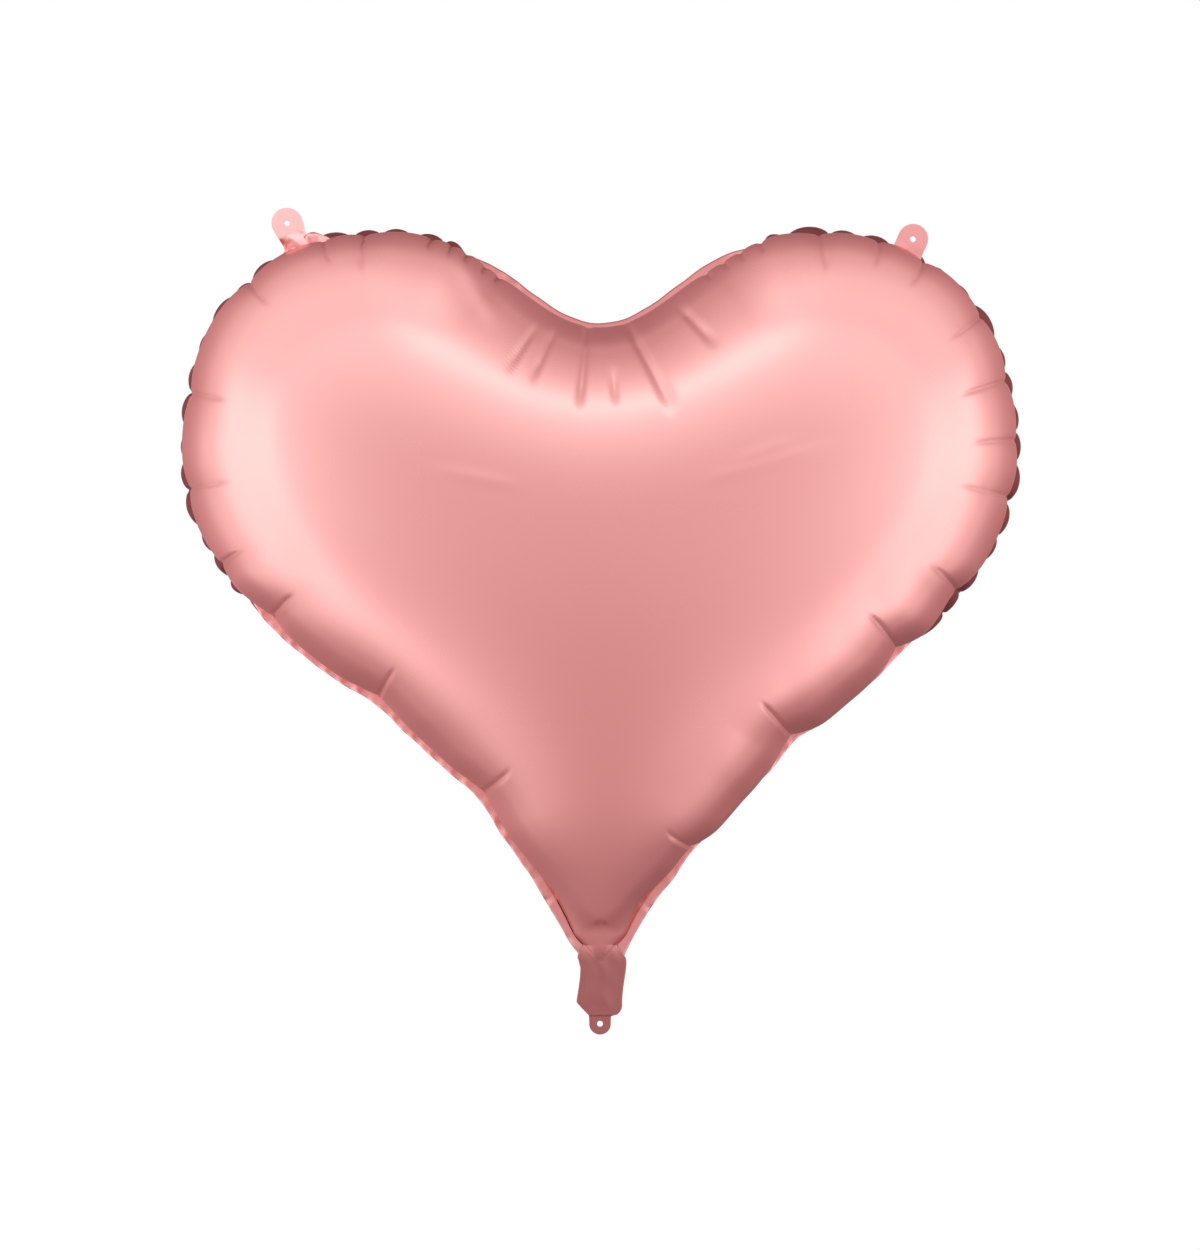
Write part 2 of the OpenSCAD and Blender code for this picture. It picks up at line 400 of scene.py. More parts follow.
def crease_depth(points, creases):
    """How far in the creases press the film at points of the plan."""
    depth = np.zeros(points.shape[:-1])
    for at, start, end, lean, deep, shoulder in creases:
        i = int(round(at * STATIONS)) % STATIONS
        turn = radians(lean)
        inx, inz = -weld_out[i]
        way = np.array([inx * cos(turn) - inz * sin(turn), inx * sin(turn) + inz * cos(turn)])
        step = points - weld[i]
        along = step @ way + inset[i]
        across = np.abs(step @ np.array([-way[1], way[0]]))
        left = np.clip(1 - along / (end * 1.12), 0, 1)
        if start:
            left = left * ramp(along, start - 0.012, start + 0.022)
        left = left * (across < 0.12) * (along > -0.05)
        reach = shoulder * (0.4 + 0.6 * left)
        depth += deep * left**2 * np.exp(-np.sqrt(across**2 + 0.0010**2) / reach)
        groove, cut = (0.0024 + 0.00025 * abs(lean) * (1 - left), 0.0021) if start else (0.0015, 0.0008)
        depth += (cut + 0.09 * deep) * ramp(left, 0.0, 0.3) * np.exp(-(across / groove)**2)
    return depth


# Each is (x and z of one end, x and z of the other, height, reach), in metres.
soft_ridges = [
    (-0.128, 0.433, -0.060, 0.419, 0.00045, 0.0055),
    (0.075, 0.422, 0.180, 0.452, 0.00050, 0.0060),
    (0.100, 0.438, 0.150, 0.456, 0.00030, 0.0050),
    (-0.114, 0.606, -0.080, 0.548, 0.00140, 0.0075),
]
print(len(front_creases), "creases in front,", len(back_creases), "behind,", len(soft_ridges), "ridges")


def ridge_height(points):
    """Faint ridges where tension pulls across the face between creases."""
    height = np.zeros(points.shape[:-1])
    for x1, z1, x2, z2, tall, reach in soft_ridges:
        a, b = np.array([x1, z1]), np.array([x2, z2])
        t = ((points - a) @ (b - a)) / ((b - a) @ (b - a))
        across = np.linalg.norm(points - a - t[..., None] * (b - a), axis=-1)
        height += tall * np.exp(-(across / reach)**2) * np.exp(-((t - 0.5) / 0.42)**4)
    return height


# %% [markdown]
# ## The two sheets
# A grid is created, its points are set on the spokes and rings, and its first and last column are
# merged where they meet. The sheet first swells past the weld, and then the creases press in
# along the surface. Both sheets start from the same weld line, which also waves a little.

# %% Build a sheet
wave_y = 0.0022 * np.sin(2 * pi * where * 47 + 2 * np.sin(2 * pi * where * 5)) * lobes
fine_wave = 0.0004 * np.sin(2 * pi * where * 83) * (1 - lobes)
wave_y = wave_y + fine_wave * (1 - notch_sides) * (1 - hump(0.5, 0.07))


def surface_normals(p, side):
    """Outward unit normals of a sheet's rows of points."""
    along = np.roll(p, -1, axis=0) - np.roll(p, 1, axis=0)
    inward = np.gradient(p, axis=1)
    n = np.cross(along, inward)
    n = n / np.maximum(np.linalg.norm(n, axis=2), 1e-12)[..., None]
    if n[:, RINGS // 2, 1].mean() * side < 0:
        n = -n
    return n


def sheet_points(side, swell, creases):
    """Every point of a sheet, as (spoke, ring, 3). side is -1 for the front and 1 for the back."""
    t = np.clip((away - 0.008) / 0.054, 0, 1)
    past = (rise / 0.030) * np.exp(1 - rise / 0.030) * (1 - t**3 * (10 - 15 * t + 6 * t * t))
    past = past * read_round(swell, station)
    shift = np.stack([read_round(weld_out[:, k], station) for k in (0, 1)], axis=2)
    flat = plan + shift * past[..., None]
    y = side * rise + wave_y[:, None] * (1 - ramp(rise, 0.0, 0.030))
    p = np.stack([flat[..., 0], y, flat[..., 1]], axis=2)
    press = crease_depth(flat, creases) * ramp(rise, 0.0, 0.010)
    if side < 0:
        press = press - ridge_height(flat)
    press[:, -1] = press[:, -1].mean()
    return p - surface_normals(p, side) * press[..., None]


def grid_piece(name, p, closed_rows, closed_tip, faces_to=None):
    """A mesh made from a grid whose points are moved to p, shaped (columns, rows, 3)."""
    columns, rows = p.shape[:2]
    wide = columns + 1 if closed_rows else columns
    bm = bmesh.new()
    bmesh.ops.create_grid(bm, x_segments=wide - 1, y_segments=rows - 1, size=0.5)
    uv = bm.loops.layers.uv.new("film")
    spots = {}
    for v in bm.verts:
        i = int(round((v.co.x + 0.5) * (wide - 1)))
        j = int(round((v.co.y + 0.5) * (rows - 1)))
        spots[v] = (i, j)
    for face in bm.faces:
        for loop in face.loops:
            i, j = spots[loop.vert]
            loop[uv].uv = (i / (wide - 1), j / (rows - 1))
    for v, (i, j) in spots.items():
        v.co = p[i % columns, j]
    if closed_rows:
        seam = [v for v, (i, j) in spots.items() if i in (0, wide - 1)]
        bmesh.ops.remove_doubles(bm, verts=seam, dist=1e-7)
    if closed_tip:
        middle = sum((Vector(q) for q in p[:, -1]), Vector()) / columns
        poles = [v for v in bm.verts if (v.co - middle).length < 1e-5]
        bmesh.ops.remove_doubles(bm, verts=poles, dist=1e-4)
    bm.normal_update()
    if faces_to is not None:
        total = sum((f.normal * f.calc_area() for f in bm.faces), Vector())
        if total.dot(Vector(faces_to)) < 0:
            bmesh.ops.reverse_faces(bm, faces=bm.faces[:])
    mesh = bpy.data.meshes.new(name)
    bm.to_mesh(mesh)
    bm.free()
    mesh.shade_smooth()
    obj = bpy.data.objects.new(name, mesh)
    bpy.context.scene.collection.objects.link(obj)
    print(name, len(mesh.polygons), "faces")
    return obj


front_points = sheet_points(-1, swell_front, front_creases)
back_points = sheet_points(1, swell_back, back_creases)
front_points[:, -1] = front_points[:, -1].mean(axis=0)
back_points[:, -1] = back_points[:, -1].mean(axis=0)
front_sheet = grid_piece("front_sheet", front_points, True, True, (0, -1, 0))
back_sheet = grid_piece("back_sheet", back_points, True, True, (0, 1, 0))
for sheet, node in ((front_sheet, "front_panel"), (back_sheet, "back_panel")):
    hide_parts(node)
    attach(sheet, "heart")

# %% [markdown]
# ## The welded margin
# Outside the weld the two sheets are fused into one stiff strip about 8 mm wide. It can't shorten
# with the puffs, so it waves forwards and back, most round the lobes.

# %% Build the margin
MARGIN_ROWS = 7
TWO_FILMS = 0.0003
LEFT_FOOT = 0.868


def margin_points():
    t = np.linspace(0, 1, MARGIN_ROWS)[None, :]
    ripple = 0.5 * np.sin(2 * pi * where * 113 + 1.5 * np.sin(2 * pi * where * 9))
    ripple = ripple + 0.5 * np.sin(2 * pi * where * 171 + 2 * np.sin(2 * pi * where * 13))
    size = 0.0016 * lobes + 0.0008 * right_side + 0.0011 * left_side
    size = size + 0.0022 * hump(0.955, 0.022) + 0.0001
    size = size + 0.0022 * (hump(0.5155, 0.006) + hump(0.5355, 0.006) + hump(0.470, 0.006))
    foot = hump(LEFT_FOOT, 0.013)
    wide = MARGIN_W + 0.0002 * np.sin(2 * pi * where * 71)
    wide = wide + 0.006 * foot + 0.011 * hump(LEFT_FOOT + 0.009, 0.010)
    edge = weld + weld_out * wide[:, None]
    at_tip = 1 - ramp(outline[:, 1], TIP + 0.030, TIP + 0.060)[:, None]
    edge = (1 - at_tip) * edge + at_tip * outline
    edge[:, 0] += 0.0030 * ramp(-edge[:, 0], 0.0, 0.010) * (1 - ramp(edge[:, 1], TIP, TIP + 0.013))
    x = weld[:, 0, None] + t * (edge - weld)[:, 0, None]
    z = weld[:, 1, None] + t * (edge - weld)[:, 1, None]
    back = t * (0.0085 * notch_sides)[:, None] + t**1.5 * (ripple * (size + 0.0012 * foot))[:, None]
    return np.stack([x, wave_y[:, None] + back, z], axis=2)


def thicken(obj, thickness):
    """Gives a flat film its thickness, half to each side."""
    wall = obj.modifiers.new("film", "SOLIDIFY")
    wall.thickness = thickness
    wall.offset = 0
    return obj


margin = thicken(grid_piece("welded_margin", margin_points(), True, False, (0, -1, 0)), TWO_FILMS)
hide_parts("seam_margin")
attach(margin, "heart")

# %% [markdown]
# ## The neck
# The neck is the same two sheets, empty and nearly flat, with a seal down each side. Each neck sheet
# ends in a rounded tongue that laps over the heart's tip and dips under its surface, so that no gap
# shows. The neck's back sheet also stands for the seals down its sides. Two thin valve films lie
# flat inside.

# %% Build the neck
ONE_FILM = 0.00012
VALVE_FILM = 0.00006


def neck_edge(z, side):
    """The neck's edge at a height: wavy sides, one cut corner and one round corner at the mouth."""
    corner = 0.011 if side < 0 else 0.009
    low = np.clip((NECK_MOUTH + corner - z) / corner, 0, 1)
    cut = low if side < 0 else 1 - np.sqrt(1 - low**2)
    wave = 0.0011 * np.sin((z - NECK_MOUTH) * 95 + 2.4 + side) - 0.0008
    shift = 0.0018 * ramp(TIP + 0.004 - z, 0.0, 0.008) * (1 - ramp(TIP - z, 0.0, 0.05))
    return side * (NECK_HALF + wave * ramp(TIP - z, 0, 0.01) - corner * cut) + shift


def neck_sheet(name, side):
    across = np.linspace(-1, 1, 41)
    a, t = np.meshgrid(across, np.linspace(0, 1, 41), indexing="ij")
    top = TIP - 0.001 + 0.020 * (1 - a * a)
    z = top + (NECK_MOUTH - top) * t
    left, right = neck_edge(z, -1), neck_edge(z, 1)
    x = (left + right) / 2 + a * (right - left) / 2
    seen = np.stack([x, z], axis=2)
    gap, spot = nearest(weld, seen.reshape(-1, 2))
    body = heights(seen, gap.reshape(x.shape), spot.reshape(x.shape)) * inside(x, z, weld)
    open_part = np.clip(1 - (a / 0.74)**2, 0, 1) * ramp(z, NECK_MOUTH, NECK_MOUTH + 0.02)
    puff = open_part * (0.0008 + 0.0007 * np.sin(z * 130 + a * 2.2 + side) ** 2)
    slack = 0.0003 * (1 + np.sin(a * 6 + z * 110 + 2 * side)) * (1 - a**2)
    off = 0.0002 + 0.0004 * ramp(z, NECK_MOUTH, NECK_MOUTH + 0.012) + puff + slack
    off = np.sqrt(off**2 + (body + 0.0009 - 0.0032 * ramp(z, TIP + 0.003, TIP + 0.017))**2)
    return grid_piece(name, np.stack([x, side * off, z], axis=2), False, False, (0, side, 0))


neck_pieces = []
for name, side, node in (("neck_front_sheet", -1, "neck_front"), ("neck_back_sheet", 1, "neck_back")):
    sheet = thicken(neck_sheet(name, side), ONE_FILM)
    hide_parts(node)
    neck_pieces.append(sheet)
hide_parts("neck_side_seals")


def valve_mouth(name, side):
    """The part of the valve that lines the neck. It stops just inside the mouth."""
    down = np.linspace(NECK_FOLD, NECK_MOUTH + 0.0015, 25)
    a, z = np.meshgrid(np.linspace(-1, 1, 15), down, indexing="ij")
    half = np.minimum(0.014, np.minimum(neck_edge(z, 1), -neck_edge(z, -1)) - 0.0025)
    points = np.stack([a * half, side * 0.00015 + 0 * z, z], axis=2)
    return grid_piece(name, points, False, False, (0, side, 0))


valve_pieces = []
for name, side, node in (
    ("valve_mouth_front_sheet", 1, "valve_mouth_front"),
    ("valve_mouth_back_sheet", -1, "valve_mouth_back"),
):
    sheet = thicken(valve_mouth(name, side), VALVE_FILM)
    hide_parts(node)
    valve_pieces.append(sheet)
for piece in neck_pieces + valve_pieces:
    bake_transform(piece)
print("neck", round(NECK_FOLD - NECK_MOUTH, 4), "m long,", round(2 * NECK_HALF, 4), "m wide")

# %% [markdown]
# ## The punched tabs
# Each tab is a round end about a punched hole on a short stem. Its mesh is a ring of spokes from the
# hole to the tab's edge, so that the hole is truly round. The edge is the circle, or the stem where
# the stem reaches further. The left stem is crumpled, and its foot spreads along the rim.

# %% Build the tabs
TAB_SPOKES = 96
TAB_ROWS = 22
HANG_HOLE = 0.0022
TAIL_HOLE = 0.0023
HANG_R = 0.012
LEAN_OUT = radians(24)


def tab_edge(angle, r, reach, waist, foot):
    """Distance from the hole to the tab's edge. angle 0 points away from the stem."""
    down = -cos(angle)
    if down <= 0.05:
        return r
    best = r
    for step in range(400):
        d = r * 0.9 + step * 0.0001
        depth = d * down
        t = min(max(depth / reach, 0), 1)
        half = r + (waist - r) * ramp(t, 0.0, 0.6) + (foot - waist) * ramp(t, 0.6, 1.0)
        if depth <= reach and d * abs(sin(angle)) <= half:
            best = max(best, d)
    return best


def tab_points(hole, up, r, hole_r, reach, waist, foot, bend):
    """Rows of points from the hole to the edge. hole and up are in the plane of the margin."""
    side = np.array([up[1], -up[0]])
    rows = []
    for k in range(TAB_SPOKES):
        angle = 2 * pi * k / TAB_SPOKES
        edge = tab_edge(angle, r, reach, waist, foot)
        spoke = []
        for t in np.linspace(0, 1, TAB_ROWS):
            d = hole_r + (edge - hole_r) * t
            place = hole + d * (cos(angle) * up + sin(angle) * side)
            spoke.append((place[0], bend(d * sin(angle), d * cos(angle)), place[1]))
        rows.append(spoke)
    return np.array(rows)


def crumpled(across, along):
    """The left tab is tilted, and its stem is creased into facets."""
    down = max(0.0, -along - 0.009)
    flat_part = 0.26 * across * max(0.0, 1 - down / 0.006) - 0.10 * max(along, -0.009)
    ridges = abs((across * 110 + along * 60) % 2 - 1) - 0.5
    starts = float(ramp(down, 0.0, 0.003))
    stops = float(1 - ramp(down, 0.012, 0.016))
    return flat_part + 0.0026 * ridges * starts * stops


def nearly_flat(across, along):
    return 0.0003 * sin(across * 200) * float(ramp(-along, 0.004, 0.010))


def hanging_tab(name, node, lean, reach, waist, foot, bend):
    up = np.array([sin(lean), cos(lean)])
    hole = hole_of[node]
    p = tab_points(hole, up, HANG_R, HANG_HOLE, reach + 0.008, waist, foot, bend)
    tab = thicken(grid_piece(name, p, True, False, (0, -1, 0)), TWO_FILMS)
    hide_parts(node)
    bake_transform(tab)
    return tab


mounts = {m["name"]: m["pos_m"] for m in frame["record"]["mounts"]}
hole_of = {
    "hanging_tab_left": np.array(mounts["hanging_tab_left_hole"])[[0, 2]],
    "hanging_tab_right": np.array(mounts["hanging_tab_right_hole"])[[0, 2]],
}
tabs = [
    hanging_tab("left_hanging_tab", "hanging_tab_left",
                -LEAN_OUT, 0.0191, 0.0103, 0.0125, crumpled),
    hanging_tab("right_hanging_tab", "hanging_tab_right",
                LEAN_OUT, 0.0075, 0.0120, 0.0125, nearly_flat),
]
tail_way = np.array([0.0, -1.0])
tail_points = tab_points(np.zeros(2), tail_way, -tail_low.z, TAIL_HOLE, 0.011, 0.0088, 0.0095, nearly_flat)
tail = thicken(grid_piece("tail_tab_film", tail_points, True, False, (0, -1, 0)), TWO_FILMS)
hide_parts("tail_tab")
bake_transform(tail)
print(len(tabs) + 1, "tabs, each of", TAB_SPOKES, "spokes")

# %% [markdown]
# ## The film's finish
# Metallised film is a satin mirror: all its colour is in what it reflects. Each finish is a metal
# whose tint goes smoothly from one colour to another, by height or by the distance from the weld
# along the film's own UV map. Roughness varies a little over broad patches. The darker tints by the
# weld, at the neck and towards the tip are painted shade, for light that is lost between folds, and
# the left tab's paler tint is a painted highlight.

# %% Make the finishes
ROSE = (0.765, 0.362, 0.347, 1)
PALE = (0.86, 0.38, 0.37, 1)
# The next three tints are painted shade, for light lost between folds: on the neck and tail below the tip,
# by the back sheet's weld, and over the tip and upper neck.
DEEPER_PAINTED_SHADE = (0.37, 0.140, 0.136, 1)
SHADE = (0.27, 0.085, 0.085, 1)
NECK_PAINTED_SHADE = (0.62, 0.262, 0.252, 1)


def new_material(name):
    material = bpy.data.materials.new(name)
    material.use_nodes = True
    shader = material.node_tree.nodes["Principled BSDF"]
    return material, material.node_tree, shader


def patchy_group():
    """A node group that varies roughness over broad soft patches."""
    group = bpy.data.node_groups.new("soft_patches", "ShaderNodeTree")
    for label, value in (("Scale", 6.0), ("Low", 0.2), ("High", 0.3)):
        socket = group.interface.new_socket(label, in_out="INPUT", socket_type="NodeSocketFloat")
        socket.default_value = value
    group.interface.new_socket("Roughness", in_out="OUTPUT", socket_type="NodeSocketFloat")
    nodes, links = group.nodes, group.links
    start = nodes.new("NodeGroupInput")
    end = nodes.new("NodeGroupOutput")
    place = nodes.new("ShaderNodeTexCoord")
    noise = nodes.new("ShaderNodeTexNoise")
    noise.inputs["Detail"].default_value = 3
    spread_out = nodes.new("ShaderNodeMapRange")
    links.new(place.outputs["Object"], noise.inputs["Vector"])
    links.new(start.outputs["Scale"], noise.inputs["Scale"])
    links.new(noise.outputs["Fac"], spread_out.inputs["Value"])
    links.new(start.outputs["Low"], spread_out.inputs["To Min"])
    links.new(start.outputs["High"], spread_out.inputs["To Max"])
    links.new(spread_out.outputs["Result"], end.inputs["Roughness"])
    return group


patches = patchy_group()


def foil(name, colour, low, high, second=None, from_uv=False, start=0.0, end=1.0):
    """Satin metallised film. Its tint goes from a second one at start to its own at end."""
    material, tree, shader = new_material(name)
    shader.inputs["Metallic"].default_value = 1
    shader.inputs["Specular Tint"].default_value = (0.92, 0.70, 0.70, 1)
    place = tree.nodes.new("ShaderNodeTexCoord")
    parts = tree.nodes.new("ShaderNodeSeparateXYZ")
    blend = tree.nodes.new("ShaderNodeMapRange")
    blend.interpolation_type = "SMOOTHSTEP"
    tint = tree.nodes.new("ShaderNodeMix")
    tint.data_type = "RGBA"
    tree.links.new(place.outputs["UV" if from_uv else "Object"], parts.inputs[0])
    tree.links.new(parts.outputs["Y" if from_uv else "Z"], blend.inputs["Value"])
    blend.inputs["From Min"].default_value = start
    blend.inputs["From Max"].default_value = end
    tint.inputs["A"].default_value = second or [c * 0.97 for c in colour]
    tint.inputs["B"].default_value = colour
    tree.links.new(blend.outputs["Result"], tint.inputs["Factor"])
    tree.links.new(tint.outputs["Result"], shader.inputs["Base Color"])
    rough = tree.nodes.new("ShaderNodeGroup")
    rough.node_tree = patches
    rough.inputs["Scale"].default_value = 9
    rough.inputs["Low"].default_value = low
    rough.inputs["High"].default_value = high
    tree.links.new(rough.outputs["Roughness"], shader.inputs["Roughness"])
    return material


# Painted shade: the front sheet's tint darkens towards the tip and the neck.
front_finish = foil("rose_gold_film", ROSE, 0.24, 0.30, NECK_PAINTED_SHADE, False, TIP - 0.004, TIP + 0.060)
# Painted shade: the back sheet's tint is dark near the weld, over the puffs that show past the front's
# rim.
back_painted_shade_finish = foil("back_film_painted_shade", ROSE, 0.24, 0.30, SHADE, True, 0.14, 0.25)
# Painted shade: the margin's tint darkens to 0.76 of its colour towards the tip.
margin_finish = foil("welded_film", PALE, 0.34, 0.42, [0.76 * c for c in PALE], False, TIP, TIP + 0.20)
# Painted shade: the neck and tail tab are tinted dark, darkest below the heart's tip.
neck_and_tail_painted_shade_finish = foil("neck_and_tail_painted_shade_film", NECK_PAINTED_SHADE, 0.36, 0.46, DEEPER_PAINTED_SHADE, False, TIP - 0.006, TIP + 0.016)
# Painted highlight: the left tab's film is tinted paler than the right tab's, fading to the margin's
# colour below about 0.61 m.
left_tab_highlight_finish = foil("left_tab_painted_highlight_film", (0.86, 0.50, 0.49, 1), 0.34, 0.42, PALE, False, 0.612, 0.622)
right_finish = foil("flat_tab_film", (0.84, 0.40, 0.395, 1), 0.34, 0.42)
front_sheet.data.materials.append(front_finish)
back_sheet.data.materials.append(back_painted_shade_finish)
for piece, finish in ((margin, margin_finish), (tabs[0], left_tab_highlight_finish), (tabs[1], right_finish)):
    piece.data.materials.append(finish)
for piece in neck_pieces + [tail]:
    piece.data.materials.append(neck_and_tail_painted_shade_finish)


def valve_film():
    material, tree, shader = new_material("clear_valve_film")
    noise = tree.nodes.new("ShaderNodeTexNoise")
    noise.inputs["Scale"].default_value = 60
    shades = tree.nodes.new("ShaderNodeValToRGB")
    shades.color_ramp.elements[0].color = (0.71, 0.74, 0.76, 1)
    shades.color_ramp.elements[1].color = (0.79, 0.82, 0.84, 1)
    tree.links.new(noise.outputs["Fac"], shades.inputs["Fac"])
    tree.links.new(shades.outputs["Color"], shader.inputs["Base Color"])
    shader.inputs["Alpha"].default_value = 0.5
    rough = tree.nodes.new("ShaderNodeGroup")
    rough.node_tree = patches
    tree.links.new(rough.outputs["Roughness"], shader.inputs["Roughness"])
    return material


def release_print():
    material, tree, shader = new_material("grey_release_print")
    noise = tree.nodes.new("ShaderNodeTexNoise")
    noise.inputs["Scale"].default_value = 400
    ramp_node = tree.nodes.new("ShaderNodeValToRGB")
    ramp_node.color_ramp.elements[0].color = (0.25, 0.27, 0.29, 1)
    ramp_node.color_ramp.elements[1].color = (0.42, 0.44, 0.46, 1)
    tree.links.new(noise.outputs["Fac"], ramp_node.inputs["Fac"])
    tree.links.new(ramp_node.outputs["Color"], shader.inputs["Base Color"])
    shader.inputs["Roughness"].default_value = 0.7
    return material


clear = valve_film()
grey = release_print()
for piece in valve_pieces:
    piece.data.materials.append(clear)
for name, node in frame["nodes"].items():
    if name.startswith("valve") and "mouth" not in name:
        node.data.materials.clear()
        node.data.materials.append(grey if name == "valve_release_print" else clear)
print(len(bpy.data.materials), "materials")

# %% [markdown]
# ## Light
# A mirror shows its surroundings, so they make the picture. The film reflects a soft tent, painted
# with curves: an arch of light round the camera puts the bright band inside the rim, and the tent
# is dimmer below and behind. The camera itself sees plain white instead of the tent.

# %% Paint the light tent
AIM = Vector((0, 0, (cad_box[0][2] + cad_box[1][2]) / 2 - 0.003))


def sum_nodes(tree):
    """A short way to write sums in a node tree."""
    def sum_of(operation, *values):
        node = tree.nodes.new("ShaderNodeMath")
        node.operation = operation
        for k, value in enumerate(values):
            if isinstance(value, (int, float)):
                node.inputs[k].default_value = value
            else:
                tree.links.new(value, node.inputs[k])
        return node.outputs[0]
    return sum_of


CURVE_TOP = 2.5


def curve_of(tree, value, low, high, stops):
    """A smooth curve through (value, result) stops, for results up to CURVE_TOP."""
    spread_in = tree.nodes.new("ShaderNodeMapRange")
    spread_in.inputs["From Min"].default_value = low
    spread_in.inputs["From Max"].default_value = high
    tree.links.new(value, spread_in.inputs["Value"])
    curve = tree.nodes.new("ShaderNodeFloatCurve")
    line = curve.mapping.curves[0]
    for k, (at, result) in enumerate(stops):
        spot = ((at - low) / (high - low), result / CURVE_TOP)
        if k < 2:
            line.points[k].location = spot
        else:
            line.points.new(*spot)
    curve.mapping.update()
    tree.links.new(spread_in.outputs["Result"], curve.inputs["Value"])
    return sum_nodes(tree)("MULTIPLY", curve.outputs["Value"], CURVE_TOP)


def light_tent():
    """Soft surroundings, brightest in an arch round the camera and dimmer behind the balloon."""
    world = bpy.data.worlds.new("light_tent")
    bpy.context.scene.world = world
    world.use_nodes = True
    tree = world.node_tree
    tree.nodes.clear()
    sum_of = sum_nodes(tree)
    place = tree.nodes.new("ShaderNodeTexCoord")
    toward = tree.nodes.new("ShaderNodeVectorMath")
    toward.inputs[1].default_value = (0, -1, 0)
    half = tree.nodes.new("ShaderNodeVectorMath")
    half.operation = "NORMALIZE"
    parts = tree.nodes.new("ShaderNodeSeparateXYZ")
    tree.links.new(place.outputs["Generated"], toward.inputs[0])
    tree.links.new(toward.outputs[0], half.inputs[0])
    tree.links.new(half.outputs[0], parts.inputs[0])
    across = sum_of("DIVIDE", sum_of("ADD", parts.outputs["X"], 0.015), 0.50)
    above = sum_of("DIVIDE", sum_of("MAXIMUM", parts.outputs["Z"], 0.0), 0.42)
    across_squared = sum_of("MULTIPLY", across, across)
    above_squared = sum_of("MULTIPLY", above, above)
    ring = sum_of("SQRT", sum_of("ADD", across_squared, above_squared))
    arch = curve_of(tree, ring, 0, 2.4, ARCH)
    fade = curve_of(tree, parts.outputs["Z"], -1, 1, FADE)
    open_below = curve_of(tree, parts.outputs["Z"], -1, 1, OPEN_BELOW)
    arch = sum_of("ADD", sum_of("MULTIPLY", sum_of("SUBTRACT", arch, 0.85), open_below), 0.85)
    to_right = sum_of("MAXIMUM", parts.outputs["X"], 0.0)
    below = sum_of("MAXIMUM", sum_of("MULTIPLY", parts.outputs["Z"], -1.0), 0.0)
    low_right = sum_of("MULTIPLY", to_right, below)
    dimmed = sum_of("SUBTRACT", 1.0, sum_of("MULTIPLY", low_right, 0.6))
    strength = sum_of("MULTIPLY", sum_of("MULTIPLY", arch, fade), dimmed)
    tint = tree.nodes.new("ShaderNodeMix")
    tint.data_type = "RGBA"
    tint.inputs["A"].default_value = (1.25, 0.90, 0.91, 1)
    tint.inputs["B"].default_value = (0.96, 1.02, 1.01, 1)
    tree.links.new(sum_of("SUBTRACT", strength, 0.4), tint.inputs["Factor"])
    seen = tree.nodes.new("ShaderNodeLightPath")
    mix = tree.nodes.new("ShaderNodeMixShader")
    white = tree.nodes.new("ShaderNodeBackground")
    soft = tree.nodes.new("ShaderNodeBackground")
    out = tree.nodes.new("ShaderNodeOutputWorld")
    white.inputs["Color"].default_value = (1, 1, 1, 1)
    tree.links.new(tint.outputs["Result"], soft.inputs["Color"])
    tree.links.new(strength, soft.inputs["Strength"])
    tree.links.new(seen.outputs["Is Camera Ray"], mix.inputs["Fac"])
    tree.links.new(soft.outputs["Background"], mix.inputs[1])
    tree.links.new(white.outputs["Background"], mix.inputs[2])
    tree.links.new(mix.outputs["Shader"], out.inputs["Surface"])


ARCH = [
    (0, 0.90), (2.4, 0.44), (0.3, 1.00), (0.6, 1.34), (0.9, 1.64),
    (1.1, 1.44), (1.3, 1.10), (1.6, 0.82), (2.0, 0.60),
]
FADE = [
    (-1, 0.38), (1, 0.80), (-0.7, 0.56), (-0.6, 0.64), (-0.5, 0.77), (-0.2, 0.83),
    (0, 0.94), (0.15, 0.91), (0.3, 0.93), (0.5, 1.00), (0.7, 0.94),
]
OPEN_BELOW = [(-1, 0), (1, 1), (-0.52, 0), (-0.40, 1), (-0.36, 1)]
light_tent()
print("light tent with", len(ARCH), "stops in its arch")

# %% [markdown]
# ## Softboxes
# Each softbox is placed by the tilt of the film that should show it: the light lies where a mirror
# with that tilt would send the camera's view. Tall ones light the lobes, a wide one the notch.

# %% Place the softboxes
LIGHT_AWAY = 2.4


def softbox(name, side, rise_up, radiance, size):
    """An area light where a mirror tilted sideways by side and up by rise_up would show it."""
    facing = np.sqrt(1 - side**2 - rise_up**2)
    way = Vector((2 * facing * side, -(2 * facing**2 - 1), 2 * facing * rise_up))
    light = bpy.data.lights.new(name, "AREA")
    light.shape = "RECTANGLE"
    light.size, light.size_y = size
    light.energy = radiance * pi * size[0] * size[1]
    lamp = bpy.data.objects.new(name, light)
    bpy.context.scene.collection.objects.link(lamp)
    lamp.location = AIM + LIGHT_AWAY * way
    lamp.rotation_euler = way.to_track_quat("Z", "Y").to_euler()
    return lamp


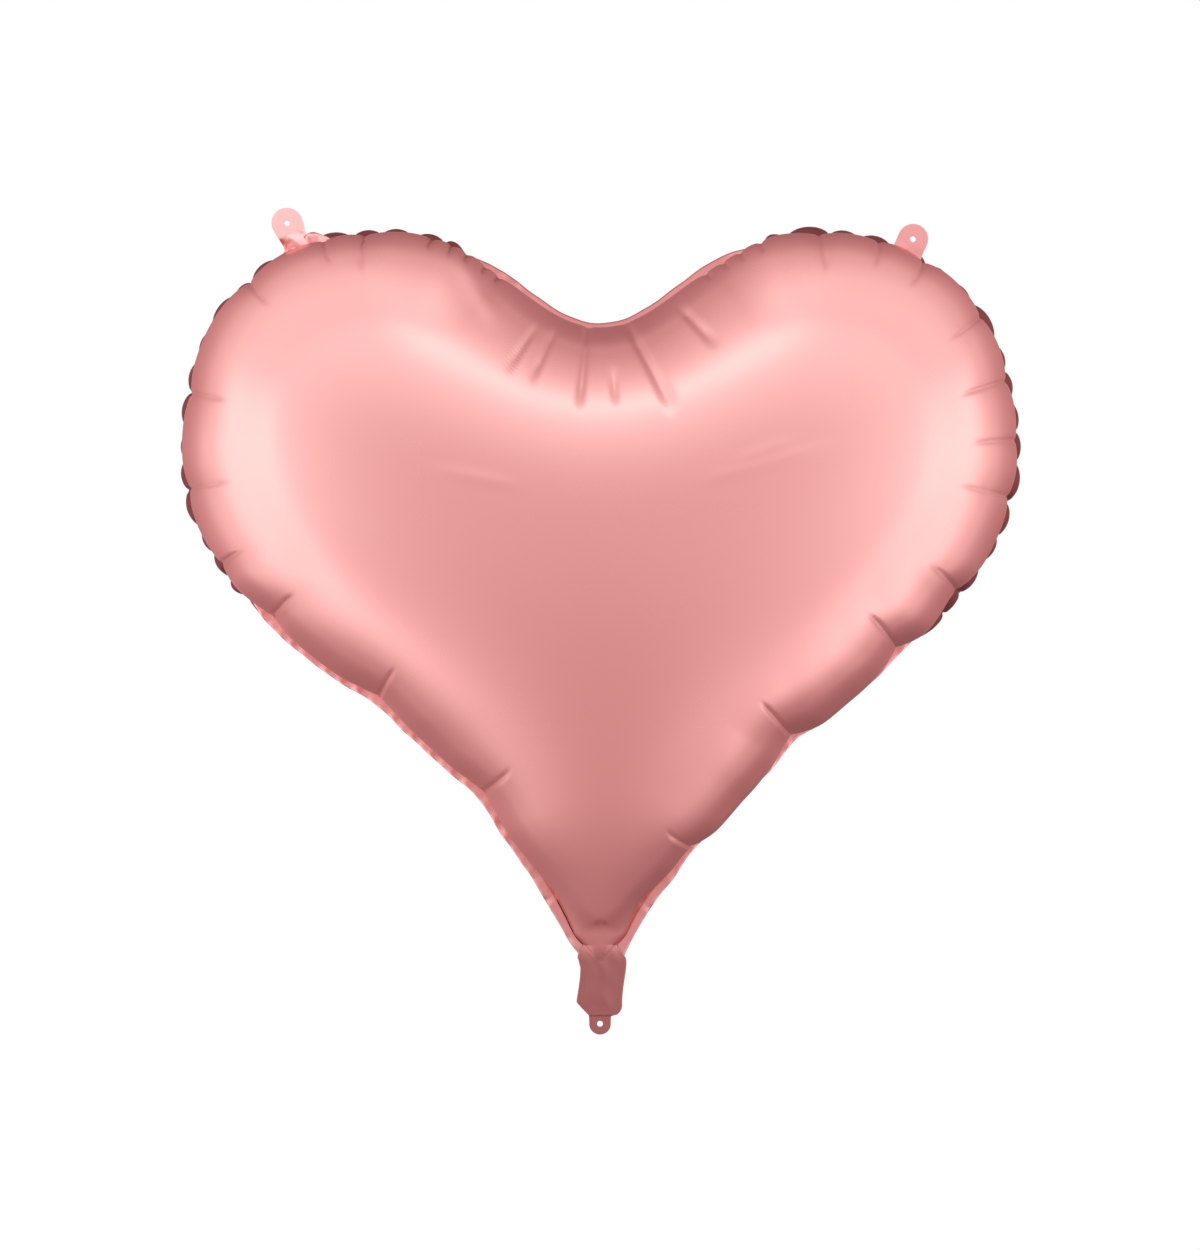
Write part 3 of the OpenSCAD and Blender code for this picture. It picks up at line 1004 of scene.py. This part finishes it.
softbox("left_softbox", -0.485, -0.09, 0.9, (0.40, 2.9))
softbox("right_softbox", 0.500, -0.09, 1.0, (0.40, 2.9))
softbox("top_softbox", 0.0, 0.43, 0.9, (0.8, 0.45))
print("three softboxes,", LIGHT_AWAY, "m from the balloon")

# %% [markdown]
# ## Floor
# The balloon floats, so the floor lies well below it. It is kept out of the film's reflections.

# %% Lay the floor
FLOOR_Z = cad_box[0][2] - 2.0


def floor():
    bm = bmesh.new()
    bmesh.ops.create_grid(bm, x_segments=8, y_segments=8, size=3)
    bmesh.ops.translate(bm, verts=bm.verts[:], vec=(0, 0, FLOOR_Z))
    mesh = bpy.data.meshes.new("studio_floor")
    bm.to_mesh(mesh)
    bm.free()
    obj = bpy.data.objects.new("studio_floor", mesh)
    bpy.context.scene.collection.objects.link(obj)
    material, tree, shader = new_material("pale_floor")
    noise = tree.nodes.new("ShaderNodeTexNoise")
    noise.inputs["Scale"].default_value = 3
    shades = tree.nodes.new("ShaderNodeValToRGB")
    shades.color_ramp.elements[0].color = (0.58, 0.57, 0.56, 1)
    shades.color_ramp.elements[1].color = (0.62, 0.61, 0.60, 1)
    tree.links.new(noise.outputs["Fac"], shades.inputs["Fac"])
    tree.links.new(shades.outputs["Color"], shader.inputs["Base Color"])
    shader.inputs["Roughness"].default_value = 0.8
    mesh.materials.append(material)
    obj.visible_glossy = False


floor()
print("floor at", round(FLOOR_Z, 3), "m")

# %% [markdown]
# ## Camera
# A long lens at the front keeps the outline close to its true shape. The plain view transform keeps
# the pale surroundings white.

# %% Set up the camera
LENS = 0.128
SENSOR = 0.036
VIEW_H = 0.9845

lens = bpy.data.cameras.new("camera")
lens.lens = LENS * 1000
lens.sensor_width = SENSOR * 1000
camera = bpy.data.objects.new("camera", lens)
bpy.context.scene.collection.objects.link(camera)
distance = VIEW_H * LENS / SENSOR
camera.location = AIM + Vector((0, -distance, 0))
camera.rotation_euler = (pi / 2, 0, 0)
bpy.context.scene.camera = camera
bpy.context.scene.view_settings.view_transform = "Standard"
print("camera", round(distance, 3), "m away")
